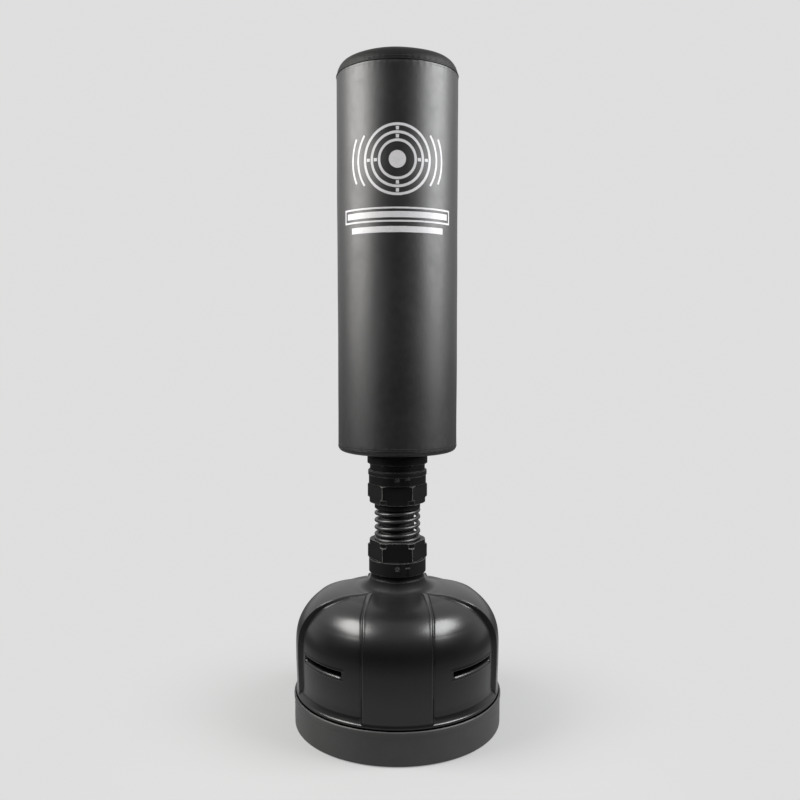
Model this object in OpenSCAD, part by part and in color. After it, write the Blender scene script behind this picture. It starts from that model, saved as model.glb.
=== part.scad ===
// Free-standing punch bag: a fillable base in a skirted tray, a neck with a
// coil spring between two union nuts, and a tall padded bag.
// Millimetres, +Z up, origin at the centre of the base on the floor.
// The front of the bag faces -Y, the zip is at the rear (+Y).

/* [Base] */
// outer diameter of the tray skirt, below its rolled rim
base_d = 526; // [460:2:600]
// height of the tray skirt
skirt_h = 84; // [60:1:110]
// wall of the tank
tank_wall = 4; // [3:0.5:6]
// width of each of the four raised bands
band_w = 165; // [120:1:200]
// height of a grip pocket
pocket_h = 15; // [12:1:22]
// depth of a grip pocket from the face of the tank
pocket_depth = 23; // [14:1:30]
// number of suction feet and of tray screws
foot_count = 8; // [6:1:10]

/* [Neck] */
// outer diameter of the two pipes
pipe_d = 110; // [90:1:125]
// wall of the two pipes
pipe_wall = 5; // [3:0.5:8]
// outer diameter of the connector sleeves
sleeve_d = 145; // [130:1:160]
// width of the union nuts over the corners
nut_d = 151; // [140:1:170]
// height of the union nuts
nut_h = 49; // [40:1:56]
// wire diameter of the coil spring
wire_d = 10; // [8:0.5:13]
// outer diameter of the coil spring
coil_d = 116; // [100:1:120]
// free rise of one full turn of the coil spring
coil_pitch = 18.4; // [14:0.2:24]

/* [Bag] */
// outer diameter of the bag
bag_d = 300; // [250:5:360]
// length of the side panel
panel_h = 904; // [700:5:1100]
// radius of the rounded shoulder at the top
shoulder_r = 36; // [20:1:60]
// rise of the crown above the shoulder
crown_h = 10; // [2:1:25]
// radius of the bottom edge
bottom_r = 14; // [8:1:25]
// thickness of the cover
cover_t = 2.5; // [1.5:0.5:4]

/* [Hidden] */
$fn = 96;
e = 0.02;

// tray and tank levels
r_skirt = base_d / 2;
z_floor = 14;
t_floor = 4;
z_tank = 22;
z_boss = 371;
r_boss = 68.5;
r_ring = 150;      // pitch radius of the tray screws
r_feet = 215;      // pitch radius of the feet
pocket_z = 190;
pocket_a = 48;     // azimuth of a pocket from the front or the rear
pocket_span = 32;
fill_y = 165;
fill_z = 366;

// neck levels, from the boss up
r_pipe = pipe_d / 2;
r_sleeve = sleeve_d / 2;
r_thread = 61.5;
r_seat = coil_d / 2;
z_low_body = 386;
z_low_top = 421;
z_low_seat = z_low_top + 36;
z_coil0 = z_low_seat + 9;
z_coil1 = 549;
z_up_nut = 579;
z_up_seat = 588;
z_up_body = 612.5;
z_up_neck = 647;
z_flange = 664.5;
z_bag = 696;
r_screws = 72.6;    // pitch radius of the flange screws

// bag levels
r_bag = bag_d / 2;
z_panel = z_bag + bottom_r;
z_seam = z_panel + panel_h;
z_foam = z_panel + 0.5;
z_pad = z_seam - 12;
z_tube = z_pad - 4;
zip_lo = z_panel + 8;
zip_hi = z_seam - 10;
zip_z = zip_hi - 14;

// ---- helpers -------------------------------------------------------------

// point on a curve through four neighbours
function bend(a, b, c, d, t) =
  0.5 * (2 * b + (c - a) * t + (2 * a - 5 * b + 4 * c - d) * t * t + (3 * b - a - 3 * c + d) * t * t * t);

// a curve through all the points, n steps between neighbours
function curve(p, n) = concat(
  [for (i = [0 : len(p) - 2]) for (k = [0 : n - 1])
    bend(p[max(i - 1, 0)], p[i], p[i + 1], p[min(i + 2, len(p) - 1)], k / n)],
  [p[len(p) - 1]]);

// the same path moved to its left by d
function inset(p, d) = [for (i = [0 : len(p) - 1])
  let (t = p[min(i + 1, len(p) - 1)] - p[max(i - 1, 0)]) p[i] + d * [-t[1], t[0]] / norm(t)];

function arc(c, r, a0, a1, n) = [for (k = [0 : n]) let (a = a0 + (a1 - a0) * k / n) c + r * [cos(a), sin(a)]];

module tube(r0, r1, z0, z1) {
  translate([0, 0, z0]) difference() {
    cylinder(r = r1, h = z1 - z0);
    translate([0, 0, -1]) cylinder(r = r0, h = z1 - z0 + 2);
  }
}

module rod(r, z0, z1) { translate([0, 0, z0]) cylinder(r = r, h = z1 - z0); }

module ring_of(n, r, a0 = 0) { for (i = [0 : n - 1]) rotate([0, 0, a0 + 360 * i / n]) translate([r, 0, 0]) children(); }

// ridges of a coarse thread, one ring per pitch
module thread_rings(r, z0, z1, pitch) {
  rotate_extrude() polygon(concat([[r - 4, z0], [r - 1.6, z0]],
    [for (i = [0 : floor((z1 - z0) / pitch) - 1]) for (q = [[-1.6, 1], [0, 2], [0, 4], [-1.6, 5]])
      [r + q[0], z0 + i * pitch + q[1]]],
    [[r - 1.6, z1], [r - 4, z1]]));
}

// ---- base ----------------------------------------------------------------

// half section of the tank along a raised band
band_path = curve([[257.4, 97], [257.4, 119], [258.4, 151], [259, 182], [259.2, 208], [257.9, 234], [253.6, 255],
  [245.4, 274.4], [234.5, 291.4], [219, 308.3], [205, 319.3], [191, 327.7], [172, 335.9], [140, 343.2], [112, 345],
  [94, 346.0], [84, 347.8], [77, 352.2], [72, 360], [69.4, 367], [r_boss, z_boss]], 1);
// half section along a recessed quadrant
quad_path = curve([[250.5, 98.5], [249.4, 119], [250.2, 151], [250.7, 182], [250.7, 206], [249.2, 230],
  [245.9, 247.7], [241.6, 259.7], [235.8, 271.0], [228.7, 281.9], [221.0, 291.8], [211.9, 301.1], [201.9, 310.1], [191.7, 317.5],
  [180.9, 324.0], [167.8, 330.3], [139.3, 337.9], [112, 339.9], [60, 340.4]], 1);
// the parts of both that have the hollow behind them
band_in = [for (p = inset(band_path, tank_wall)) if (p[0] > 92) p];
quad_in = inset(quad_path, tank_wall);

module bands(w, h) {
  for (a = [0, 90]) rotate([0, 0, a]) translate([-w / 2, -300, z_tank - 1]) cube([w, 600, h]);
}

// one curved pocket in each quadrant, grown by g on every side
module pockets(g) {
  for (a = [-90, 90]) for (s = [-1, 1]) rotate([0, 0, a + s * pocket_a - pocket_span / 2 - (g > 0 ? 1.2 : 0)])
    rotate_extrude(angle = pocket_span + (g > 0 ? 2.4 : 0))
      translate([251 - pocket_depth - g, pocket_z - g]) square([40 + g, pocket_h + 2 * g]);
}

module tank_shape() {
  rotate_extrude() polygon(concat([[0, z_tank], [252, z_tank], [254, z_tank + 2], [254, skirt_h - 1],
    [259.4, skirt_h + 2], [259.4, skirt_h + 7], [250.5, 98.5]], quad_path, [[0, 340.4]]));
  intersection() {
    rotate_extrude() polygon(concat([[0, 90], [257.4, 90]], band_path, [[0, z_boss]]));
    bands(band_w, 400);
  }
  rod(r_boss, 325, z_boss);
}

module tank_hollow() {
  difference() {
    union() {
      rotate_extrude() polygon(concat([[0, z_tank + tank_wall], [250, z_tank + tank_wall], [250, 92]],
        quad_in, [[0, 336.4]]));
      intersection() {
        rotate_extrude() polygon(concat([[0, 89], [253.4, 89]], band_in, [[60, 341.5], [0, 341.5]]));
        bands(band_w - 2 * tank_wall, 400);
      }
    }
    rod(r_pipe + 0.4 + tank_wall, 0, 400);
    pockets(tank_wall);
    ring_of(foot_count, r_ring) rod(8, 0, 40);
  }
}

module base_tank() {
  color("#141414") difference() {
    union() {
      tank_shape();
      translate([0, fill_y, 0]) rod(25.4, 310, fill_z);
      translate([0, fill_y, 0]) thread_rings(27, fill_z - 15, fill_z - 2, 6);
      translate([0, fill_y, 0]) rod(29, 310, fill_z - 19);
    }
    tank_hollow();
    pockets(0);
    rod(r_pipe + 0.4, z_tank + tank_wall, 400);
    translate([0, fill_y, 0]) rod(21, 300, 400);
    ring_of(foot_count, r_ring) rod(2.5, 0, 37);
  }
}

module base_tray() {
  color("#161616") difference() {
    union() {
      rotate_extrude() polygon([[0, z_floor], [r_skirt - 3, z_floor], [r_skirt - 3, 2], [r_skirt - 0.8, 2],
        [r_skirt, 3], [r_skirt, skirt_h - 16], [r_skirt + 1.6, skirt_h - 12], [r_skirt + 1.6, skirt_h - 3],
        [r_skirt, skirt_h], [r_skirt - 2.8, skirt_h], [r_skirt - 2.8, z_floor + t_floor], [0, z_floor + t_floor]]);
      for (r = [80, 196, 240]) tube(r, r + 4, z_floor + t_floor - e, z_tank);
      ring_of(foot_count, r_ring) rod(10, z_floor, z_tank);
      ring_of(foot_count, 0, 22.5) translate([30, -1.5, 5]) cube([r_skirt - 32, 3, z_floor - 4]);
      tube(30, 34, 5, z_floor + 1);
    }
    ring_of(foot_count, r_ring) rod(2.7, 0, 40);
    ring_of(foot_count, r_feet) rod(5, 0, 40);
  }
}

module suction_feet() {
  color("#1c1c1c") ring_of(foot_count, r_feet) rotate_extrude() polygon([[0, 6], [11, 5], [22, 0], [25, 0],
    [24.6, 2], [15, 9], [12, 12], [12, z_floor], [4.9, z_floor], [4.9, z_floor + t_floor],
    [6.2, z_floor + t_floor], [5, z_floor + t_floor + 3], [0, z_floor + t_floor + 3]]);
}

module tray_screws() {
  color("#8a8d90") ring_of(foot_count, r_ring) difference() {
    union() {
      rotate_extrude() polygon([[0, 10.2], [4.6, 10.2], [6, 11.6], [6, z_floor], [2.4, z_floor], [2.4, 34],
        [0.6, 36.5], [0, 36.5]]);
    }
    for (a = [0, 90]) rotate([0, 0, a]) translate([-3, -0.6, 10]) cube([6, 1.2, 2.2]);
  }
}

module filler_cap() {
  color("#191919") translate([0, fill_y, 0]) {
    rotate_extrude() polygon([[0, fill_z + 1.5], [28, fill_z + 1.5], [28, fill_z - 16], [31.5, fill_z - 16],
      [31.5, fill_z + 3], [29.5, fill_z + 5], [0, fill_z + 5]]);
    ring_of(16, 31.5) rod(1.6, fill_z - 15, fill_z + 2);
    translate([-23, -4, fill_z + 4]) cube([46, 8, 8]);
  }
}

module filler_seal() {
  color("#2a2a2a") translate([0, fill_y, 0]) tube(21.4, 26, fill_z, fill_z + 1.5);
}

module post_tube() {
  color("#1b1b1b") difference() {
    tube(r_pipe - pipe_wall, r_pipe, z_tank + tank_wall, z_low_seat - 6);
    lock_holes(408, 3);
  }
}

// ---- neck ----------------------------------------------------------------

module lock_holes(z, r) {
  for (a = [-90, 30, 150]) rotate([0, 0, a]) translate([40, 0, z]) rotate([0, 90, 0]) cylinder(r = r, h = 40);
}

module lock_heads(z) {
  for (a = [-90, 30, 150]) rotate([0, 0, a]) translate([r_sleeve - 4.5, -5.4, z - 5.4]) cube([10, 10.8, 10.8]);
}

// three short screws with a hexagon socket, sunk in square pockets
module lock_screws(z) {
  for (a = [-90, 30, 150]) rotate([0, 0, a]) translate([0, 0, z]) rotate([0, 90, 0]) difference() {
    union() {
      translate([0, 0, r_pipe - pipe_wall - 1]) cylinder(r = 2.9, h = r_sleeve - 4.5 - r_pipe + pipe_wall + 1 + e);
      translate([0, 0, r_sleeve - 4.5]) cylinder(r = 4.9, h = 3.6);
    }
    translate([0, 0, r_sleeve - 3.4]) cylinder(r = 2.6, h = 5, $fn = 6);
  }
}

// a small raised bar beside each screw that shows where the socket sits
module sleeve_marks(z) {
  for (a = [-90, 30, 150]) rotate([0, 0, a + 16])
    rotate_extrude(angle = 9) translate([r_sleeve - 1, z - 1.6]) square([1.7, 3.2]);
}

module lower_connector() {
  color("#151515") difference() {
    union() {
      rotate_extrude() polygon([[30, z_low_seat - 6], [30, z_low_seat], [r_thread - 1.6, z_low_seat],
        [r_thread - 1.6, z_low_top], [r_sleeve - 1, z_low_top], [r_sleeve, z_low_top - 1],
        [r_sleeve, z_low_body + 1.2], [r_sleeve - 1.2, z_low_body], [67, z_low_body - 1], [67, 375],
        [68.5, z_boss], [r_pipe + 0.05, z_boss], [r_pipe + 0.05, z_low_seat - 6]]);
      thread_rings(r_thread, z_low_top, z_low_seat, 6);
      sleeve_marks(408);
    }
    lock_holes(408, 3.1);
    lock_heads(408);
  }
}

module lower_lock_screws() { color("#2c2c2e") lock_screws(408); }

module lower_spring_seat() {
  color("#101010") rotate_extrude() polygon([[12, z_low_seat], [61.8, z_low_seat], [61.8, z_low_seat + 4.5],
    [r_seat, z_low_seat + 4.5], [r_seat, z_coil0], [r_seat - wire_d - 1.5, z_coil0],
    [r_seat - wire_d - 1.5, z_coil0 + 6], [r_seat - wire_d - 3.5, z_coil0 + 8], [12, z_coil0 + 8]]);
}

module lower_nut_washer() { color("#30302e") tube(r_seat + 0.9, 61.8, z_low_seat + 4.5, z_low_seat + 6); }

// hexagonal body with its corners turned down to a round collar at the coil end, which is at z = 0
module hex_body() {
  intersection() {
    cylinder(r = nut_d / 2, h = nut_h, $fn = 6);
    rotate_extrude() polygon([[0, 0], [68.6, 0], [70.8, 1.8], [70.8, 12.5], [76, 15.5], [76, nut_h - 3],
      [72.4, nut_h], [0, nut_h]]);
  }
}

module lower_union_nut() {
  color("#131313") difference() {
    translate([0, 0, z_low_top + nut_h]) mirror([0, 0, 1]) hex_body();
    rod(62.1, z_low_top - 1, z_low_seat + 6);
    rod(r_seat + 0.8, z_low_top, z_low_top + nut_h + 1);
  }
}

module upper_union_nut() {
  color("#131313") difference() {
    translate([0, 0, z_up_body - nut_h]) hex_body();
    rod(62.1, z_up_nut + 3, z_up_body + 2);
    rod(r_seat + 0.8, z_up_body - nut_h - 1, z_up_nut + 10);
  }
}

module upper_nut_washer() { color("#30302e") tube(r_seat + 0.9, 61.8, z_up_nut + 3, z_up_nut + 4.5); }

module upper_spring_seat() {
  color("#101010") rotate_extrude() polygon([[12, z_coil1 - 8], [r_seat - wire_d - 3.5, z_coil1 - 8],
    [r_seat - wire_d - 1.5, z_coil1 - 6], [r_seat - wire_d - 1.5, z_coil1], [r_seat - 0.8, z_coil1],
    [r_seat, z_coil1 + 0.8], [r_seat, z_up_nut + 4.5], [61.8, z_up_nut + 4.5], [61.8, z_up_seat], [12, z_up_seat]]);
}

module upper_connector() {
  color("#151515") difference() {
    union() {
      rotate_extrude() polygon([[30, z_up_seat], [r_thread - 1.6, z_up_seat], [r_thread - 1.6, z_up_body],
        [r_sleeve - 1, z_up_body], [r_sleeve, z_up_body + 1], [r_sleeve, 634],
        [r_sleeve + 1.8, 635.5], [r_sleeve + 1.8, z_up_neck - 1], [r_sleeve + 0.8, z_up_neck],
        [69.6, z_up_neck + 0.6], [69.6, z_flange], [r_pipe + 0.05, z_flange],
        [r_pipe + 0.05, z_up_seat + 6], [30, z_up_seat + 6]]);
      thread_rings(r_thread, z_up_seat, z_up_body, 6);
      sleeve_marks(631);
    }
    lock_holes(631, 3.1);
    lock_heads(631);
  }
}

module upper_lock_screws() { color("#2c2c2e") lock_screws(631); }

// height of the wire over u turns, counted from the lowest open turn at the front: both ends lie flat
z_open = z_coil0 + 18.8;
function rise(u) = max(z_coil0 + wire_d / 2, min(z_coil1 - wire_d / 2,
  u < 0 ? z_open + 13.8 * u : u < 3 ? z_open + coil_pitch * u : z_open + 3 * coil_pitch + 13.3 * (u - 3)));
coil_u0 = -1.25;
coil_u1 = 3.6;

module coil_spring() {
  n = 24; // steps per turn
  m = 10; // sides of the wire
  rc = r_seat - wire_d / 2;
  steps = round((coil_u1 - coil_u0) * n);
  pts = [for (i = [0 : steps]) let (u = coil_u0 + (coil_u1 - coil_u0) * i / steps, a = -90 + 360 * u)
    for (k = [0 : m - 1]) let (b = 360 * (k + 0.5) / m, r = rc + wire_d / 2 * cos(b))
      [r * cos(a), r * sin(a), rise(u) + wire_d / 2 * sin(b)]];
  sides = [for (i = [0 : steps - 1]) for (k = [0 : m - 1]) let (k2 = (k + 1) % m)
    [i * m + k, i * m + k2, (i + 1) * m + k2, (i + 1) * m + k]];
  color("#0c0c0c") polyhedron(points = pts, faces = concat([[for (k = [0 : m - 1]) m - 1 - k]], sides,
    [[for (k = [0 : m - 1]) steps * m + k]]), convexity = 10);
}

module rubber_buffer() {
  color("#181818") rotate_extrude() polygon(concat([[12, z_coil0 + 8], [41, z_coil0 + 8]],
    [for (i = [0 : 5]) for (q = [[43, 1], [43, 6], [40, 8.5]]) [q[0], z_coil0 + 8 + i * 11 + q[1]]],
    [[41, z_coil1 - 8], [12, z_coil1 - 8]]));
}

module bottom_flange() {
  color("#171717") difference() {
    rotate_extrude() polygon([[r_pipe + 0.05, z_flange], [75.4, z_flange], [76.2, z_flange + 0.8],
      [76.2, z_bag], [r_pipe + 0.05, z_bag]]);
    ring_of(6, r_screws) rod(2, 600, 800);
  }
}

module flange_screws() {
  color("#8a8d90") ring_of(6, r_screws) rotate_extrude() polygon([[0, z_flange - 2], [1.6, z_flange - 2],
    [2.6, z_flange - 1], [2.6, z_flange], [1.9, z_flange], [1.9, z_bag + 9], [0.5, z_bag + 10.4], [0, z_bag + 10.4]]);
}

// ---- bag -----------------------------------------------------------------

module core_tube() {
  color("#222222") difference() {
    tube(r_pipe - pipe_wall, r_pipe, z_up_seat + 6, z_tube);
    lock_holes(631, 3);
  }
}

module core_tube_cap() {
  color("#2b2b2b") rotate_extrude() polygon([[0, z_tube - 14], [r_pipe - pipe_wall - 3, z_tube - 14],
    [r_pipe - pipe_wall, z_tube - 12], [r_pipe - pipe_wall, z_tube], [r_pipe, z_tube], [r_pipe, z_tube + 2],
    [r_pipe - 2, z_tube + 4], [0, z_tube + 4]]);
}

module bottom_board() {
  color("#b08d5c") difference() {
    tube(r_pipe + 0.1, r_bag - cover_t - bottom_r - 1, z_bag + cover_t, z_foam);
    ring_of(6, r_screws) rod(2, 600, z_bag + 11);
  }
}

module foam_core() { color("#c9b27a") tube(r_pipe + 0.1, 104, z_foam, z_tube); }

module foam_outer() { color("#d8d4c8") tube(104, r_bag - cover_t, z_foam, z_pad); }

// outline of the top, from the seam to the axis
top_path = concat(arc([r_bag - shoulder_r, z_seam], shoulder_r, 0, 76, 10),
  [for (k = [1 : 8]) let (a = shoulder_r * cos(76), w = r_bag - shoulder_r + a, h = shoulder_r * sin(76), t = k / 8)
    [w * (1 - t), z_seam + h + (shoulder_r - h + crown_h) * (1 - pow(1 - t, 2.0))]]);
top_in = concat([[r_bag - cover_t, z_seam]], [for (p = inset(top_path, cover_t)) if (p[1] > z_seam + 1) [max(p[0], 0), p[1]]]);

module foam_top_pad() {
  color("#d8d4c8") difference() {
    rotate_extrude() polygon(concat([[0, z_pad], [r_bag - cover_t, z_pad]], top_in, [[0, top_in[len(top_in) - 1][1]]]));
    rod(r_pipe + 0.1, z_pad - 10, z_pad + 0.1);
    piping_ring(0.1);
  }
}

module piping_ring(g) {
  rotate_extrude() translate([r_bag - 0.7, z_seam]) circle(r = 2.3 + g, $fn = 24);
}

// the strip of the side panel that the zip closes
module zip_gap(w, z0, z1) { translate([-w / 2, r_bag - 20, z0]) cube([w, 40, z1 - z0]); }

module bag_cover() {
  color("#0f0f0f") difference() {
    tube(r_bag - cover_t, r_bag, z_panel, z_seam);
    piping_ring(0);
    zip_gap(6, zip_lo + 6, zip_hi - 6);
  }
}

module bag_top_cap() {
  color("#0f0f0f") difference() {
    rotate_extrude() polygon(concat(top_path, [for (i = [len(top_in) - 1 : -1 : 0]) top_in[i]]));
    piping_ring(0);
  }
}

module bag_bottom_cap() {
  color("#0f0f0f") difference() {
    rotate_extrude() polygon(concat([[r_pipe + 0.1, z_bag]],
      arc([r_bag - bottom_r, z_panel], bottom_r, -90, 0, 8),
      arc([r_bag - bottom_r, z_panel], bottom_r - cover_t, 0, -90, 8), [[r_pipe + 0.1, z_bag + cover_t]]));
    ring_of(6, r_screws) rod(2, 600, 800);
  }
}

module top_piping() { color("#121212") piping_ring(0); }

// arc strip on the rear of the bag, w wide, from r0 to r1
module rear_strip(w, r0, r1, z0, z1) {
  a = 2 * asin(w / 2 / r_bag);
  rotate([0, 0, 90 - a / 2]) rotate_extrude(angle = a) translate([r0, z0]) square([r1 - r0, z1 - z0]);
}

module zip_tape() {
  color("#161616") {
    rear_strip(30, r_bag + 0.03, r_bag + 1, zip_lo, zip_hi);
    rear_strip(4.6, r_bag + 0.9, r_bag + 2.4, zip_lo + 6, zip_hi - 6);
  }
}

module zip_stops() {
  color("#7d8084") for (z = [zip_lo + 2.5, zip_hi - 6])
    translate([-3.2, r_bag + 1, z]) cube([6.4, 2.6, 3.5]);
}

module zip_slider() {
  color("#8d9094") difference() {
    union() {
      translate([-6, r_bag + 1.2, zip_z - 8]) cube([12, 4, 16]);
      for (x = [-5, 3.4]) translate([x, r_bag + 5.1, zip_z - 2.5]) cube([1.6, 4.4, 6]);
      translate([-5, r_bag + 7.6, zip_z + 0.8]) rotate([0, 90, 0]) cylinder(r = 1.1, h = 10, $fn = 24);
    }
    translate([-2.8, r_bag, zip_z - 10]) cube([5.6, 2.9, 20]);
  }
}

module zip_pull() {
  color("#8d9094") difference() {
    union() {
      translate([-3, r_bag + 7.6, zip_z + 0.8]) rotate([0, 90, 0]) cylinder(r = 2.3, h = 6, $fn = 24);
      translate([-3, r_bag + 6.8, zip_z - 6]) cube([6, 1.6, 5.4]);
      translate([-4.5, r_bag + 6.8, zip_z - 30]) cube([9, 1.6, 24.2]);
    }
    translate([-4, r_bag + 7.6, zip_z + 0.8]) rotate([0, 90, 0]) cylinder(r = 1.25, h = 8, $fn = 24);
    translate([0, r_bag + 4, zip_z - 25]) rotate([-90, 0, 0]) cylinder(r = 2, h = 8, $fn = 24);
  }
}

base_tray();
base_tank();
suction_feet();
tray_screws();
filler_cap();
filler_seal();
post_tube();
lower_connector();
lower_lock_screws();
lower_spring_seat();
lower_nut_washer();
lower_union_nut();
coil_spring();
rubber_buffer();
upper_spring_seat();
upper_nut_washer();
upper_union_nut();
upper_connector();
upper_lock_screws();
bottom_flange();
flange_screws();
core_tube();
core_tube_cap();
bottom_board();
foam_core();
foam_outer();
foam_top_pad();
bag_cover();
bag_top_cap();
bag_bottom_cap();
top_piping();
zip_tape();
zip_stops();
zip_slider();
zip_pull();
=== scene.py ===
import math

import bpy
import numpy as np
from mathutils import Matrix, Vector
from mathutils.bvhtree import BVHTree


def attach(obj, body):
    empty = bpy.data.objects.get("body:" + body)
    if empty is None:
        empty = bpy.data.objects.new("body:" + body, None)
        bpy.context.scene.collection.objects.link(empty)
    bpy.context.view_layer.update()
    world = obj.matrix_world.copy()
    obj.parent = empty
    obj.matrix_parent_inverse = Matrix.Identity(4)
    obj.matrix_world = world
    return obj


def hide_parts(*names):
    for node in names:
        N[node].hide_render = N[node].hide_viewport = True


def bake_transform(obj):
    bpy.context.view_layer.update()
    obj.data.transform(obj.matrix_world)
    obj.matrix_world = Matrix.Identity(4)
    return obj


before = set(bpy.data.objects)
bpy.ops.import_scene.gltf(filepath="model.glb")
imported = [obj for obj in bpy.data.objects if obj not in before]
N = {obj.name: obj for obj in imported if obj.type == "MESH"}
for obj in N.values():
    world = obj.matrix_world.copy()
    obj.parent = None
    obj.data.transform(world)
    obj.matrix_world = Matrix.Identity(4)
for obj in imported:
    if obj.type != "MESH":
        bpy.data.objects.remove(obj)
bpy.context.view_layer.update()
MM = 0.001
TAU = 2 * math.pi


# ---- mesh helpers ----------------------------------------------------------

def mesh_object(name, verts, faces, smooth=True, sharp=None):
    """A mesh piece from points in millimetres."""
    me = bpy.data.meshes.new(name)
    me.from_pydata((np.asarray(verts, float) * MM).tolist(), [], [tuple(int(i) for i in f) for f in faces])
    me.validate()
    if smooth:
        me.polygons.foreach_set("use_smooth", [True] * len(me.polygons))
        if sharp is not None:
            me.set_sharp_from_angle(angle=math.radians(sharp))
    me.update()
    ob = bpy.data.objects.new(name, me)
    bpy.context.scene.collection.objects.link(ob)
    return ob


def spline(points, steps):
    """A smooth curve through the points (Catmull-Rom on chord length), steps samples a span."""
    p = np.asarray(points, float)
    p = np.vstack([2 * p[0] - p[1], p, 2 * p[-1] - p[-2]])
    out = []
    for i in range(1, len(p) - 2):
        a, b, c, d = p[i - 1], p[i], p[i + 1], p[i + 2]
        t0, t1 = 0.0, max(np.linalg.norm(b - a), 1e-6) ** 0.5
        t2 = t1 + max(np.linalg.norm(c - b), 1e-6) ** 0.5
        t3 = t2 + max(np.linalg.norm(d - c), 1e-6) ** 0.5
        for k in range(steps):
            t = t1 + (t2 - t1) * k / steps
            a1 = (t1 - t) / (t1 - t0) * a + (t - t0) / (t1 - t0) * b
            a2 = (t2 - t) / (t2 - t1) * b + (t - t1) / (t2 - t1) * c
            a3 = (t3 - t) / (t3 - t2) * c + (t - t2) / (t3 - t2) * d
            b1 = (t2 - t) / (t2 - t0) * a1 + (t - t0) / (t2 - t0) * a2
            b2 = (t3 - t) / (t3 - t1) * a2 + (t - t1) / (t3 - t1) * a3
            out.append((t2 - t) / (t2 - t1) * b1 + (t - t1) / (t2 - t1) * b2)
    out.append(p[-2])
    return np.array(out)


def lathe(name, profile, n=160, closed=False, centre=(0, 0), sharp=38):
    """Revolves a half section (r, z) about Z. A point at r = 0 becomes one pole."""
    prof = np.asarray(profile, float)
    verts, rows = [], []
    for r, z in prof:
        if r < 1e-6:
            rows.append([len(verts)])
            verts.append((centre[0], centre[1], z))
        else:
            a = TAU * np.arange(n) / n
            rows.append(list(range(len(verts), len(verts) + n)))
            verts.extend(zip(centre[0] + r * np.cos(a), centre[1] + r * np.sin(a), np.full(n, z)))
    faces = []
    pairs = list(zip(rows, rows[1:])) + ([(rows[-1], rows[0])] if closed else [])
    for p, q in pairs:
        for i in range(n):
            j = (i + 1) % n
            if len(p) == 1 and len(q) == 1:
                continue
            if len(p) == 1:
                faces.append((p[0], q[j], q[i]))
            elif len(q) == 1:
                faces.append((p[i], p[j], q[0]))
            else:
                faces.append((p[i], p[j], q[j], q[i]))
    return mesh_object(name, verts, faces, sharp=sharp)


def rounded(points, radius, seg=4):
    """A closed section with each corner rounded."""
    p = [np.array(q, float) for q in points]
    n, out = len(p), []
    for i in range(n):
        a, b, c = p[i - 1], p[i], p[(i + 1) % n]
        if b[0] < 1e-6:
            out.append(b)
            continue
        u, v = a - b, c - b
        lu, lv = np.linalg.norm(u), np.linalg.norm(v)
        k = min(radius, lu * 0.45, lv * 0.45)
        s, e = b + u / lu * k, b + v / lv * k
        for t in np.linspace(0, 1, seg + 1):
            out.append((1 - t) ** 2 * s + 2 * t * (1 - t) * b + t * t * e)
    return np.array(out)


def grid_faces(rows, cols, wrap_cols=True, start=0):
    i, j = np.meshgrid(np.arange(rows - 1), np.arange(cols if wrap_cols else cols - 1), indexing="ij")
    k = (j + 1) % cols
    return np.stack([start + i * cols + j, start + i * cols + k, start + (i + 1) * cols + k,
                     start + (i + 1) * cols + j], -1).reshape(-1, 4)


def step(a, b, x):
    t = np.clip((x - a) / (b - a), 0, 1)
    return t * t * (3 - 2 * t)


def waves(a, z, seed, count, amp, fa, fz):
    """A smooth uneven field over azimuth and height, the same on each run."""
    rng = np.random.default_rng(seed)
    out = np.zeros(np.broadcast(a, z).shape)
    for _ in range(count):
        m = rng.integers(1, fa + 1)
        out = out + rng.normal() * np.sin(m * a + rng.uniform(0, TAU) + z * rng.uniform(-fz, fz) * TAU)
    return amp * out / math.sqrt(count)


# ---- materials ---------------------------------------------------------------

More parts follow.
